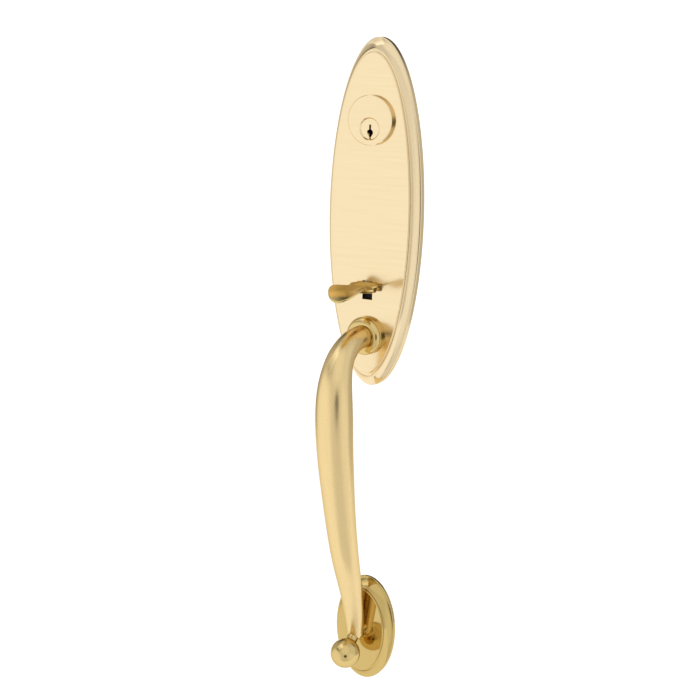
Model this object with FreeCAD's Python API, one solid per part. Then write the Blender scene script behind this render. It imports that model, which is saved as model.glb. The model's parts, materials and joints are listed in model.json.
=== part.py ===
import FreeCAD, Part
import math
import os

# Entry door handleset, outside half, in millimetres.
# The door's outer surface is the plane Y = 0, the room is at +Y and the street at -Y.
# X runs to the right as seen from the street and Z up. The origin is the plate's centre.
# "out" is a distance in front of the door, so a point at out = 10 has Y = -10.

V = FreeCAD.Vector
X_AXIS = V(1, 0, 0)
Y_AXIS = V(0, 1, 0)
Z_AXIS = V(0, 0, 1)

# Layout along the door. The plate is as long as its lock spacing and its two ends need.
lock_spacing = 139.7
plate_above_cylinder = 64.7
plate_below_latch = 75.0
plate_half_height = (plate_above_cylinder + lock_spacing + plate_below_latch) / 2
cylinder_z = plate_half_height - plate_above_cylinder
latch_z = cylinder_z - lock_spacing
grip_post_drop = 32.5
grip_post_z = latch_z - grip_post_drop
grip_span = 249.8
rose_z = grip_post_z - grip_span

# Clearances
running_gap = 0.05
thread_gap = 0.05
slip_gap = 0.15

# Escutcheon plate, a hollow casting with a moulded edge
plate_half_width = 41.8
plate_depth = 13.7
plate_edge_side = 7.0
plate_edge_tip = 12.6
plate_rim_height = 4.6
plate_rim_rounding = 0.5
plate_bead_foot_drop = 2.9
plate_bead_top_drop = 1.9
plate_crease_drop = 2.4
plate_step_drop = 0.9
plate_face_thickness = 3.5
plate_wall_side = 4.2
plate_wall_tip = 6.5
plate_inside = plate_depth - plate_face_thickness

# Thumbpiece pivot, a little above the latch's centre line
thumb_pivot_rise = 7.7
thumb_pivot_out = 5.0
thumb_pivot_z = latch_z + thumb_pivot_rise

# Slot for the thumbpiece, above and below its pivot
slot_width = 9.0
slot_above = 4.4
slot_below = 11.0
slot_top_z = thumb_pivot_z + slot_above
slot_bottom_z = thumb_pivot_z - slot_below

# Lock cylinder housing
disc_radius = 19.75
disc_height = 3.8
disc_chamfer = 0.5
body_radius = 16.5
body_rear_y = 12.0
disc_front = plate_depth + disc_height
bolt_hole_spacing = 25.4
bolt_hole_radius = 2.1
bolt_hole_depth = 14.0
ring_nut_radius = 20.0
ring_nut_thickness = 4.0
ring_nut_notch = 3.0

# Cylinder plug, set low in the housing
plug_drop = 6.7
plug_radius = 6.35
plug_head_radius = 8.1
plug_head_thickness = 2.4
plug_recess = 1.2
plug_ring_width = 0.9
plug_thread_length = 3.4
plug_z = cylinder_z - plug_drop
plug_front = disc_front - plug_recess
plug_rear_y = body_rear_y + running_gap + plug_thread_length
keyway_width = 1.7
keyway_bulge_width = 3.4
keyway_top = 3.4
keyway_bulge_top = -0.6
key_guide_radius = 2.7
key_guide_depth = 2.6

# Pin tumblers
pin_count = 5
pin_pitch = 3.96
pin_first = 7.2
pin_radius = 1.45
pin_bore_radius = 1.5
pin_shear_gap = 0.2
key_pin_tip = 0.9
key_pin_tip_radius = 0.4
key_pin_lengths = (4.6, 5.7, 5.2, 6.0, 4.9)
driver_pin_length = 5.0
spring_wire_radius = 0.22
spring_turns = 5
spring_cover_thickness = 0.8
spring_cover_width = 4.0
spring_cover_drop = 2.6

# Plug end cap and tailpiece
end_cap_radius = 8.6
end_cap_wall = 1.6
tailpiece_width = 6.4
tailpiece_thickness = 1.8
tailpiece_head_radius = 5.6
tailpiece_length = 36.0
tailpiece_seat_depth = 1.6

# Thumbpiece: paddle, shoulder, neck, pivot barrel and tail in one casting
thumb_pin_radius = 2.0
thumb_barrel_radius = 4.3
neck_width = 7.8
neck_above = 2.6
neck_below = 5.2
tail_above = 1.5
shoulder_half_width = 9.6
shoulder_gap = 1.6
shoulder_above = 2.3
roll_radius = 3.0
roll_forward = 4.8
roll_drop = 1.2
stem_forward = 20.3
stem_drop = 3.2
paddle_thickness = 1.7
paddle_reach = 49.8
paddle_rear = 3.1
paddle_spread = 15.0
# Distance in front of the plate's face, height of the middle over the pivot, lift of the two sides
paddle_stations = (
    (0.3, 3.7, -1.9),
    (5.3, 3.3, -1.6),
    (11.3, 1.5, 0.8),
    (18.3, 0.6, 3.1),
    (25.3, -0.1, 4.4),
    (32.3, -0.8, 4.5),
    (38.3, -1.9, 4.4),
    (44.3, -3.7, 4.2),
    (51.5, -6.8, 4.0),
)
# Distance in front of the plate's face, half width
paddle_outline = (
    (3.5, 11.8),
    (5.3, 12.3),
    (11.3, 10.2),
    (18.3, 10.8),
    (25.3, 13.0),
    (32.3, 14.4),
    (38.3, 13.8),
    (43.8, 10.9),
    (48.1, 5.8),
)

# Lift lever, a folded steel piece on two studs of the thumbpiece's tail
lever_thickness = 2.0
lever_rear_y = 5.0
lever_front_y = lever_rear_y - lever_thickness
lever_right = 6.2
lever_stud_radius = 1.3
lever_stud_offset = 2.0
lever_stud_drop = 1.4
finger_gap = 0.3
finger_outward = 2.8
finger_inward = 1.8
finger_thickness = 3.0
finger_rear_y = 12.0

# Thumb pivot bracket, pin, clips and spring
bracket_thickness = 1.5
bracket_ear_inside = 9.6
bracket_ear_height = 13.0
bracket_ear_depth = 9.6
bracket_half_height = 13.0
bracket_screw_offset = 16.5
bracket_tab_half_width = 6.0
bracket_tab_margin = 5.0
bracket_window_margin = 1.2
bracket_window_travel = 1.8
bracket_screw_radius = 1.75
bracket_screw_engagement = 2.6
bracket_screw_head_radius = 3.2
bracket_screw_head_height = 2.0
bracket_screw_slot_width = 0.8
bracket_screw_slot_depth = 0.9
clip_radius = 3.6
clip_thickness = 0.8
clip_groove_depth = 0.5
torsion_wire_radius = 0.45
torsion_coil_radius = 3.0
torsion_turns = 4
torsion_leg = 9.0

# Latch cam, spindle, carrier plate and posts
spindle_size = 6.35
spindle_rear_y = 50.0
cam_front_y = 8.5
cam_disc_rear_y = 13.5
cam_hub_radius = 6.0
cam_arm_reach = 9.2
cam_arm_rise = 2.2
cam_arm_half_width = 1.4
cam_foot_radius = 1.9
cam_journal_radius = 5.8
cam_groove_depth = 0.5
cam_journal_end = 1.2
cam_thrust_width = 1.5
carrier_front_y = 17.0
carrier_thickness = 1.8
carrier_end_margin = 5.0
carrier_half_height = 8.5
cam_ring_radius = 8.0
cam_ring_thickness = 1.0
post_spacing = 39.0
carrier_half_width = post_spacing / 2 + carrier_end_margin
post_radius = 4.0
post_nose_radius = 3.2
post_nose_length = 5.0
post_bolt_radius = 2.1
post_bolt_depth = 16.0
post_stud_radius = 2.5
post_stud_length = 2.6
nut_across_flats = 9.5
nut_thickness = 2.8

# Collar between plate and grip, upper bolt and washer
collar_radius = 15.5
collar_base = 3.6
collar_groove = 0.45
collar_height = 8.2
grip_spigot_radius = 9.0
grip_bolt_radius = 4.0
grip_bolt_reach = 20.0
grip_bolt_head_radius = 6.5
grip_bolt_head_height = 5.0
hex_key = 5.0
hex_key_depth = 3.0
washer_radius = 8.0
washer_thickness = 1.5

# Grip, a solid casting. Its centre line lies in the plane X = 0.
# Distance in front of the door, share of the drop from post to foot, width across, thickness
grip_sections = (
    (22.5, 0.000, 18.6, 18.6),
    (31.0, 0.003, 18.8, 18.6),
    (40.0, 0.012, 19.6, 19.0),
    (48.0, 0.029, 20.8, 19.6),
    (54.6, 0.052, 22.4, 20.4),
    (59.2, 0.083, 24.6, 21.6),
    (62.0, 0.121, 27.2, 23.4),
    (63.2, 0.173, 29.8, 25.3),
    (62.7, 0.244, 31.2, 26.4),
    (60.9, 0.324, 30.6, 25.9),
    (57.5, 0.412, 29.3, 24.8),
    (52.4, 0.515, 27.1, 23.0),
    (46.2, 0.623, 25.1, 21.3),
    (38.4, 0.732, 22.9, 19.4),
    (30.4, 0.820, 20.2, 17.2),
    (24.0, 0.900, 17.4, 15.2),
    (20.4, 0.965, 15.0, 13.8),
)
grip_end_out = 19.2
grip_end_radius = 6.7
grip_end_step = 0.2
grip_foot_radius = 5.8

# Ball finial at the grip's lower end
ball_radius = 12.1
ball_forward = 16.0
ball_drop = 13.0
ball_neck_radius = 4.6
ball_seat_reach = 4.6
ball_stud_radius = 2.5
ball_stud_length = 0.85 * ball_seat_reach

# Lower rose and its post
rose_half_height = 44.4
rose_half_width = 27.3
rose_depth = 11.3
rose_edge_side = 6.6
rose_edge_tip = 10.5
rose_rim_height = 2.0
rose_rim_rounding = 0.5
rose_bead_drop = 2.6
rose_crease_drop = 1.9
rose_step_drop = 0.8
rose_face_thickness = 3.0
rose_wall_side = 3.6
rose_wall_tip = 4.6
rose_inside = rose_depth - rose_face_thickness
foot_z = rose_z
lower_post_radius = 5.0
lower_post_rear_y = 20.0
lower_post_flange_radius = 8.5
lower_post_flange_thickness = 2.0
lower_post_stud_radius = 3.0
lower_post_stud_reach = grip_end_out - ball_stud_radius - rose_depth
lower_bolt_radius = 2.6
lower_bolt_depth = 18.0


def rod(radius, front_out, back_out, x=0.0, z=0.0):
    """A round bar square to the door, between two distances in front of it."""
    return Part.makeCylinder(radius, front_out - back_out, V(x, -front_out, z), Y_AXIS)


def cross_rod(radius, left, right, out, z):
    """A round bar along X."""
    return Part.makeCylinder(radius, right - left, V(left, -out, z), X_AXIS)


def block(x0, x1, y0, y1, z0, z1):
    return Part.makeBox(x1 - x0, y1 - y0, z1 - z0, V(x0, y0, z0))


def fused(shapes):
    whole = shapes[0]
    for shape in shapes[1:]:
        whole = whole.fuse(shape)
    return whole.removeSplitter()


def revolved(points, z):
    """A turned piece: (radius, out) points spun about the axis square to the door at height z."""
    corners = [V(radius, -out, z) for radius, out in points]
    face = Part.Face(Part.makePolygon(corners + corners[:1]))
    return face.revolve(V(0, 0, z), Y_AXIS, 360)


def oval(half_width, half_height, out, z):
    top = V(0, -out, z + half_height)
    side = V(half_width, -out, z)
    return Part.Wire(Part.Ellipse(top, side, V(0, -out, z)).toShape())


def cove(start, end, steps=4):
    """A hollow quarter: it leaves level and arrives upright."""
    points = []
    for i in range(steps + 1):
        turn = math.pi / 2 * i / steps
        share = start[0] + (end[0] - start[0]) * math.sin(turn)
        points.append((share, start[1] + (end[1] - start[1]) * (1 - math.cos(turn))))
    return points


def roundover(start, end, steps=4):
    """A full quarter: it leaves upright and arrives level."""
    points = []
    for i in range(steps + 1):
        turn = math.pi / 2 * i / steps
        share = start[0] + (end[0] - start[0]) * (1 - math.cos(turn))
        points.append((share, start[1] + (end[1] - start[1]) * math.sin(turn)))
    return points


def moulded_oval(half_width, half_height, edge_side, edge_tip, z, bands):
    """A solid oval whose edge follows bands of (share of the edge's width, out) points."""

    def contour(share, out):
        return oval(half_width - share * edge_side, half_height - share * edge_tip, out, z)

    faces = [Part.Face(contour(*bands[0][0])), Part.Face(contour(*bands[-1][-1]))]
    for band in bands:
        wires = [contour(share, out) for share, out in band]
        faces += Part.makeLoft(wires, False, len(wires) == 2).Faces
    shell = Part.makeShell(faces)
    shell.sewShape()
    solid = Part.makeSolid(shell)
    if solid.Volume < 0:
        solid.reverse()
    return solid


def oval_hollow(half_width, half_height, side, tip, face_side, face_tip, knee, depth, z):
    """The space behind a cast oval: straight at the rim and drawn in towards the face."""
    below = 1.0
    mouth = oval(half_width - side, half_height - tip, -below, z)
    bend = oval(half_width - side, half_height - tip, knee, z)
    floor = oval(half_width - face_side, half_height - face_tip, depth, z)
    straight = Part.makeLoft([mouth, bend], True, True)
    drawn_in = Part.makeLoft([bend, floor], True, True)
    return straight.fuse(drawn_in)


def plate_bands():
    rim = plate_rim_height
    depth = plate_depth
    cove_foot = rim + plate_rim_rounding
    bead_foot = depth - plate_bead_foot_drop
    bead_top = depth - plate_bead_top_drop
    crease = depth - plate_crease_drop
    shoulder = depth - plate_step_drop
    return [
        [(0.0, 0.0), (0.0, rim)],
        roundover((0.0, rim), (0.08, cove_foot)),
        cove((0.08, cove_foot), (0.64, bead_foot), 6),
        roundover((0.64, bead_foot), (0.76, bead_top)),
        [(0.76, bead_top), (0.83, bead_top)],
        [(0.83, bead_top), (0.86, crease)],
        [(0.86, crease), (0.88, crease)],
        [(0.88, crease), (0.88, shoulder)],
        roundover((0.88, shoulder), (1.0, depth)),
    ]


def rose_bands():
    rim = rose_rim_height
    depth = rose_depth
    cove_foot = rim + rose_rim_rounding
    bead_foot = depth - rose_bead_drop
    crease = depth - rose_crease_drop
    shoulder = depth - rose_step_drop
    return [
        [(0.0, 0.0), (0.0, rim)],
        roundover((0.0, rim), (0.08, cove_foot)),
        cove((0.08, cove_foot), (0.74, bead_foot), 6),
        roundover((0.74, bead_foot), (0.84, crease)),
        [(0.84, crease), (0.88, crease)],
        [(0.88, crease), (0.88, shoulder)],
        roundover((0.88, shoulder), (1.0, depth)),
    ]


def escutcheon_plate():
    plate = moulded_oval(
        plate_half_width, plate_half_height, plate_edge_side, plate_edge_tip, 0.0, plate_bands()
    )
    face_side = plate_edge_side + plate_face_thickness
    face_tip = plate_edge_tip + plate_wall_tip
    hollow = oval_hollow(
        plate_half_width, plate_half_height, plate_wall_side, plate_wall_tip,
        face_side, face_tip, plate_rim_height, plate_inside, 0.0,
    )
    plate = plate.cut(hollow)
    openings = [
        rod(body_radius + slip_gap, plate_depth + 1, 0, z=cylinder_z),
        block(-slot_width / 2, slot_width / 2, -plate_depth - 1, 0, slot_bottom_z, slot_top_z),
        rod(grip_bolt_radius + slip_gap, plate_depth + 1, 0, z=grip_post_z),
    ]
    for x in (-post_spacing / 2, post_spacing / 2):
        depth = post_stud_length + 0.2
        front = plate_inside + depth
        openings.append(rod(post_stud_radius + thread_gap, front, plate_inside - 1, x, latch_z))
    for z in bracket_screw_heights():
        depth = bracket_screw_engagement + 0.2
        openings.append(rod(bracket_screw_radius + thread_gap, plate_inside + depth, plate_inside - 1, z=z))
    for opening in openings:
        plate = plate.cut(opening)
    return plate


def cylinder_housing():
    """Flanged housing: disc on the plate's face, round body through plate and door."""
    flange = rod(disc_radius, disc_front, plate_depth, z=cylinder_z)
    front_edge = [edge for edge in flange.Edges if abs(edge.BoundBox.YMin + disc_front) < 1e-6
                  and abs(edge.BoundBox.YMax + disc_front) < 1e-6]
    flange = flange.makeChamfer(disc_chamfer, front_edge)
    housing = flange.fuse(rod(body_radius, plate_depth, -body_rear_y, z=cylinder_z))
    head_bore = plug_head_radius + running_gap
    head_floor = plug_front - plug_head_thickness - running_gap
    ring_outer = plug_head_radius + plug_ring_width
    countersink = ((0, disc_front), (ring_outer, disc_front), (head_bore, plug_front), (0, plug_front))
    cuts = [
        rod(head_bore, disc_front + 1, head_floor, z=plug_z),
        rod(plug_radius + running_gap, disc_front, -body_rear_y - 1, z=plug_z),
        revolved(countersink, plug_z),
    ]
    cover_floor = spring_cover_z()
    groove = (spring_cover_width + 2 * running_gap) / 2
    top = cylinder_z + body_radius + 1
    start, end = spring_cover_span()
    cuts.append(block(-groove, groove, start - running_gap, end + running_gap, cover_floor, top))
    for y in pin_places():
        cuts.append(Part.makeCylinder(pin_bore_radius, cover_floor - plug_z, V(0, y, plug_z), Z_AXIS))
    for x in (-bolt_hole_spacing / 2, bolt_hole_spacing / 2):
        cuts.append(rod(bolt_hole_radius, bolt_hole_depth - body_rear_y, -body_rear_y - 1, x, cylinder_z))
    for cut in cuts:
        housing = housing.cut(cut)
    return housing.removeSplitter()


def cylinder_ring_nut():
    """Notched nut that draws the housing's flange onto the plate from behind."""
    inside = body_radius + thread_gap
    nut = rod(ring_nut_radius, plate_inside, plate_inside - ring_nut_thickness, z=cylinder_z)
    nut = nut.cut(rod(inside, plate_inside + 1, 0, z=cylinder_z))
    half = ring_nut_notch / 2
    rear = ring_nut_thickness - plate_inside
    for side in (-1, 1):
        low = cylinder_z + side * (ring_nut_radius - 1) - half
        nut = nut.cut(block(-half, half, rear - 1.5, rear + 1, low, low + ring_nut_notch))
    return nut


def pin_places():
    """Places of the pin chambers along Y, front to back."""
    return [-plug_front + pin_first + pin_pitch * i for i in range(pin_count)]


def spring_cover_z():
    return cylinder_z + body_radius - spring_cover_drop


def spring_cover_span():
    places = pin_places()
    margin = spring_cover_width / 2 + 1
    return places[0] - margin, places[-1] + margin


def keyway_profile(front_y):
    """Stepped keyway, open at the plug's underside."""
    narrow = keyway_width / 2
    left = keyway_bulge_width - narrow
    bottom = -plug_head_radius - 1
    mid = (keyway_bulge_top + bottom) / 2
    outline = [
        (-narrow, keyway_top),
        (narrow, keyway_top),
        (narrow, keyway_bulge_top - 1.2),
        (narrow + 0.7, keyway_bulge_top - 2.0),
        (narrow + 0.7, mid - 0.8),
        (narrow, mid - 1.4),
        (narrow, bottom),
        (-narrow, bottom),
        (-narrow, mid + 0.4),
        (-left, mid + 1.4),
        (-left, keyway_bulge_top - 0.9),
        (-narrow, keyway_bulge_top),
    ]
    corners = [V(x, front_y, plug_z + z) for x, z in outline]
    return Part.Face(Part.makePolygon(corners + corners[:1]))


def cylinder_plug():
    head = rod(plug_head_radius, plug_front, plug_front - plug_head_thickness, z=plug_z)
    barrel = rod(plug_radius, plug_front, -plug_rear_y, z=plug_z)
    plug = fused([head, barrel])
    keyway = keyway_profile(-plug_front - 1).extrude(V(0, plug_front + body_rear_y - 1, 0))
    guide_z = plug_z + keyway_bulge_top - 2.4
    guide = Part.makeCone(
        key_guide_radius, keyway_width / 2, key_guide_depth, V(0, -plug_front, guide_z), Y_AXIS
    )
    plug = plug.cut(keyway).cut(guide)
    for y in pin_places():
        plug = plug.cut(Part.makeCylinder(pin_bore_radius, plug_radius + 1, V(0, y, plug_z), Z_AXIS))
    slot_half = tailpiece_thickness / 2 + running_gap
    slot = block(-tailpiece_head_radius, tailpiece_head_radius, plug_rear_y - tailpiece_seat_depth,
                 plug_rear_y + 1, plug_z - slot_half, plug_z + slot_half)
    return plug.cut(slot).removeSplitter()


def pin_top(radius):
    """Height above the plug's axis at which a flat pin end stays just inside the given radius."""
    return math.sqrt(radius ** 2 - pin_radius ** 2) - running_gap


def key_pins():
    """Bottom pins, lifted to the shear line as the right key lifts them."""
    top = plug_z + pin_top(plug_radius)
    pins = []
    for y, length in zip(pin_places(), key_pin_lengths):
        tip = key_pin_tip
        shank = Part.makeCylinder(pin_radius, length - tip, V(0, y, top - length + tip), Z_AXIS)
        point = Part.makeCone(key_pin_tip_radius, pin_radius, tip, V(0, y, top - length), Z_AXIS)
        pins.append(fused([shank, point]))
    return Part.makeCompound(pins)


def driver_foot_z():
    return plug_z + plug_radius + pin_shear_gap


def driver_pins():
    pins = []
    for y in pin_places():
        pins.append(Part.makeCylinder(pin_radius, driver_pin_length, V(0, y, driver_foot_z()), Z_AXIS))
    return Part.makeCompound(pins)


def oval_section(centre, first, second, a, b):
    """Oval wire round a centre: half axes a and b lie along two unit vectors square to each other."""
    along = first.cross(second)
    stretch = FreeCAD.Matrix(
        a * first.x, b * second.x, along.x, centre.x,
        a * first.y, b * second.y, along.y, centre.y,
        a * first.z, b * second.z, along.z, centre.z,
        0, 0, 0, 1,
    )
    circle = Part.makeCircle(1, V(0, 0, 0), Z_AXIS)
    return Part.Wire(circle.transformGeometry(stretch).Edges)


def wire_section(centre, first, second, radius, sides=6):
    """Many-sided section of a wire, in the plane of two unit vectors square to each other."""
    corners = []
    for i in range(sides + 1):
        turn = 2 * math.pi * i / sides
        corners.append(centre + first * (radius * math.cos(turn)) + second * (radius * math.sin(turn)))
    return Part.makePolygon(corners)


def coil(radius, wire_radius, length, turns, steps_per_turn=12):
    """A helical wire along +Z, built from short straight lengths, starting at the origin's height."""
    sections = []
    steps = turns * steps_per_turn
    for i in range(steps + 1):
        turn = 2 * math.pi * i / steps_per_turn
        outward = V(math.cos(turn), math.sin(turn), 0)
        centre = outward * radius + V(0, 0, length * i / steps)
        along = V(-math.sin(turn), math.cos(turn), length / turns / (2 * math.pi * radius)).normalize()
        sections.append(wire_section(centre, outward, along.cross(outward), wire_radius))
    return Part.makeLoft(sections, True, True)


def pin_springs():
    room = spring_cover_z() - (driver_foot_z() + driver_pin_length)
    length = room - 2 * spring_wire_radius - 2 * running_gap
    spring = coil(pin_radius - spring_wire_radius, spring_wire_radius, length, spring_turns)
    springs = []
    for y in pin_places():
        copy = spring.copy()
        copy.translate(V(0, y, driver_foot_z() + driver_pin_length + spring_wire_radius + running_gap))
        springs.append(copy)
    return Part.makeCompound(springs)


def spring_cover():
    half = spring_cover_width / 2
    start, end = spring_cover_span()
    floor = spring_cover_z()
    return block(-half, half, start, end, floor, floor + spring_cover_thickness)


def plug_end_cap():
    """Cap screwed on the plug's rear end: it keeps plug and tailpiece in place."""
    front = body_rear_y + running_gap
    rear = plug_rear_y + running_gap + end_cap_wall
    cap = rod(end_cap_radius, -front, -rear, z=plug_z)
    cap = cap.cut(rod(plug_radius + thread_gap, -front + 1, -plug_rear_y - running_gap, z=plug_z))
    half_width = tailpiece_width / 2 + running_gap
    half_height = tailpiece_thickness / 2 + running_gap
    window = block(-half_width, half_width, front, rear + 1, plug_z - half_height, plug_z + half_height)
    return cap.cut(window)


def tailpiece():
    """Flat blade that turns the deadbolt, with a cross head held under the cap."""
    half = tailpiece_thickness / 2
    head_y = plug_rear_y - tailpiece_seat_depth + running_gap
    half_width = tailpiece_width / 2
    reach = tailpiece_head_radius - running_gap
    head = block(-reach, reach, head_y, plug_rear_y, plug_z - half, plug_z + half)
    rear = plug_rear_y + tailpiece_length
    blade = block(-half_width, half_width, head_y, rear, plug_z - half, plug_z + half)
    return fused([head, blade])


def paddle():
    """Scooped leaf of the thumbpiece: a curved slab trimmed to its outline."""
    wires = []
    for forward, rise, lift in paddle_stations:
        y = -plate_depth - forward
        height = thumb_pivot_z + rise
        left = V(-paddle_spread, y, height + lift)
        mid = V(0, y, height)
        right = V(paddle_spread, y, height + lift)
        drop = V(0, 0, -paddle_thickness)
        upper = Part.Arc(left, mid, right).toShape()
        lower = Part.Arc(right + drop, mid + drop, left + drop).toShape()
        edges = [upper, Part.makeLine(right, right + drop), lower, Part.makeLine(left + drop, left)]
        wires.append(Part.Wire(edges))
    slab = Part.makeLoft(wires, True, False)
    side = [(-plate_depth - forward, half) for forward, half in paddle_outline]
    right_side = [V(half, y, 0) for y, half in side]
    left_side = [V(-half, y, 0) for y, half in reversed(side)]
    tip = [V(0, -plate_depth - paddle_reach, 0)]
    curve = Part.BSplineCurve()
    curve.interpolate(right_side + tip + left_side)
    rear = Part.makeLine(left_side[-1], right_side[0])
    outline = Part.Face(Part.Wire([curve.toShape(), rear]))
    reach = 2 * paddle_spread
    column = outline.extrude(V(0, 0, 2 * reach))
    column.translate(V(0, 0, thumb_pivot_z - reach))
    return slab.common(column)


def thumbpiece():
    half = neck_width / 2
    pivot_y = -thumb_pivot_out
    roll_out = plate_depth + roll_forward
    roll_z = thumb_pivot_z - roll_drop
    neck_top_z = thumb_pivot_z + neck_above
    neck_bottom_z = thumb_pivot_z - neck_below
    shoulder = block(-shoulder_half_width, shoulder_half_width, -roll_out - shoulder_gap,
                     -plate_depth - shoulder_gap, roll_z, thumb_pivot_z + shoulder_above)
    roll = cross_rod(roll_radius, -shoulder_half_width, shoulder_half_width, roll_out, roll_z)
    stem_y = -plate_depth - stem_forward
    stem_points = [
        V(-half, -roll_out, neck_bottom_z),
        V(-half, -roll_out - roll_radius, neck_bottom_z + 0.4),
        V(-half, stem_y, thumb_pivot_z - stem_drop),
        V(-half, stem_y, thumb_pivot_z - stem_drop + 2.0),
        V(-half, -roll_out, neck_top_z - 0.4),
    ]
    stem = Part.Face(Part.makePolygon(stem_points + stem_points[:1])).extrude(V(neck_width, 0, 0))
    neck = block(-half, half, -roll_out, pivot_y, neck_bottom_z, neck_top_z)
    barrel = cross_rod(thumb_barrel_radius, -half, half, thumb_pivot_out, thumb_pivot_z)
    tail = block(-half, half, pivot_y, lever_front_y, neck_bottom_z, thumb_pivot_z + tail_above)
    pieces = [paddle(), shoulder, roll, stem, neck, barrel, tail]
    for x in (-lever_stud_offset, lever_stud_offset):
        pieces.append(rod(lever_stud_radius, -pivot_y, -lever_rear_y, x, thumb_pivot_z - lever_stud_drop))
    piece = fused(pieces)
    bore = cross_rod(thumb_pin_radius + running_gap, -half - 1, half + 1, thumb_pivot_out, thumb_pivot_z)
    return piece.cut(bore)


def lift_lever():
    """Steel lever behind the tail: its finger lifts the cam and its right end carries the spring's leg."""
    half = neck_width / 2
    finger_top_z = latch_z + cam_arm_rise - cam_foot_radius - finger_gap
    finger_bottom_z = finger_top_z - finger_thickness
    bar_top_z = thumb_pivot_z - torsion_coil_radius - torsion_wire_radius - finger_gap
    left = -cam_arm_reach - finger_outward
    right = -cam_arm_reach + finger_inward
    bar = block(left, lever_right, lever_front_y, lever_rear_y, finger_bottom_z, bar_top_z)
    upright = block(-half, half, lever_front_y, lever_rear_y, finger_bottom_z, thumb_pivot_z + tail_above)
    finger = block(left, right, lever_front_y, finger_rear_y, finger_bottom_z, finger_top_z)
    lever = fused([bar, upright, finger])
    for x in (-lever_stud_offset, lever_stud_offset):
        z = thumb_pivot_z - lever_stud_drop
        lever = lever.cut(rod(lever_stud_radius + slip_gap, 0, -lever_rear_y - 1, x, z))
    return lever


def bracket_screw_heights():
    return [thumb_pivot_z + bracket_screw_offset, thumb_pivot_z - bracket_screw_offset]


def thumb_bracket():
    """Folded steel bracket on the plate's inner face, with two ears for the pivot pin."""
    outer = bracket_ear_inside + bracket_thickness
    rear_y = -plate_inside + bracket_thickness
    z = thumb_pivot_z
    base = block(-outer, outer, -plate_inside, rear_y, z - bracket_half_height, z + bracket_half_height)
    tab_half = bracket_screw_offset + bracket_tab_margin
    tab = block(-bracket_tab_half_width, bracket_tab_half_width, -plate_inside, rear_y,
                z - tab_half, z + tab_half)
    parts = [base, tab]
    half = bracket_ear_height / 2
    for side in (-1, 1):
        inside = side * bracket_ear_inside
        outside = side * outer
        ear = block(min(inside, outside), max(inside, outside), -plate_inside,
                    -plate_inside + bracket_ear_depth, z - half, z + half)
        parts.append(ear)
    bracket = fused(parts)
    margin = bracket_window_margin
    window_half = slot_width / 2 + margin
    window = block(-window_half, window_half, -plate_inside - 1, rear_y + 1,
                   z - neck_below - bracket_window_travel, slot_top_z + margin / 2)
    bracket = bracket.cut(window)
    bracket = bracket.cut(cross_rod(thumb_pin_radius, -outer - 1, outer + 1, thumb_pivot_out, z))
    for screw_z in bracket_screw_heights():
        bracket = bracket.cut(rod(bracket_screw_radius + slip_gap, plate_inside + 1, 0, z=screw_z))
    return bracket


def bracket_screws():
    screws = []
    seat = plate_inside - bracket_thickness
    for z in bracket_screw_heights():
        shank = rod(bracket_screw_radius, plate_inside + bracket_screw_engagement, seat, z=z)
        head = rod(bracket_screw_head_radius, seat, seat - bracket_screw_head_height, z=z)
        screw = fused([shank, head])
        half = bracket_screw_slot_width / 2
        reach = bracket_screw_head_radius + 1
        rear = bracket_screw_head_height - seat
        slot = block(-reach, reach, rear - bracket_screw_slot_depth, rear + 1, z - half, z + half)
        screws.append(screw.cut(slot))
    return Part.makeCompound(screws)


def pin_end():
    return bracket_ear_inside + bracket_thickness + clip_thickness + 2 * running_gap + 1.0


def clip_start():
    return bracket_ear_inside + bracket_thickness + running_gap


def thumb_pivot_pin():
    end = pin_end()
    pin = cross_rod(thumb_pin_radius, -end, end, thumb_pivot_out, thumb_pivot_z)
    core = thumb_pin_radius - clip_groove_depth
    width = clip_thickness + running_gap
    for left in (-clip_start() - width, clip_start()):
        ring = cross_rod(thumb_pin_radius + 1, left, left + width, thumb_pivot_out, thumb_pivot_z)
        ring = ring.cut(cross_rod(core, left, left + width, thumb_pivot_out, thumb_pivot_z))
        pin = pin.cut(ring)
    return pin


def pivot_clips():
    """Open spring clips in the grooves at the pin's two ends."""
    core = thumb_pin_radius - clip_groove_depth
    clips = []
    for left in (-clip_start() - clip_thickness, clip_start()):
        ring = cross_rod(clip_radius, left, left + clip_thickness, thumb_pivot_out, thumb_pivot_z)
        hole = cross_rod(core, left - 1, left + clip_thickness + 1, thumb_pivot_out, thumb_pivot_z)
        mouth = block(left - 1, left + clip_thickness + 1, -thumb_pivot_out - core, -thumb_pivot_out + core,
                      thumb_pivot_z - clip_radius - 1, thumb_pivot_z)
        clips.append(ring.cut(hole).cut(mouth))
    return Part.makeCompound(clips)


def thumb_return_spring():
    """Torsion spring round the pin: one leg on the plate, one on the lift lever."""
    room = bracket_ear_inside - neck_width / 2
    length = room - 2 * torsion_wire_radius - 0.6
    wound = coil(torsion_coil_radius, torsion_wire_radius, length, torsion_turns)
    wound.rotate(V(0, 0, 0), Y_AXIS, 90)
    start_x = neck_width / 2 + torsion_wire_radius + 0.3
    wound.translate(V(start_x, -thumb_pivot_out, thumb_pivot_z))
    low = V(start_x, -thumb_pivot_out, thumb_pivot_z - torsion_coil_radius)
    high = V(start_x + length, -thumb_pivot_out, thumb_pivot_z - torsion_coil_radius)
    rear_leg = Part.makeCylinder(torsion_wire_radius, torsion_leg, low, Y_AXIS)
    front_reach = plate_inside - bracket_thickness - thumb_pivot_out - torsion_wire_radius - 0.05
    front_leg = Part.makeCylinder(torsion_wire_radius, front_reach, high, Y_AXIS * -1)
    return fused([wound, rear_leg, front_leg])


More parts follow.
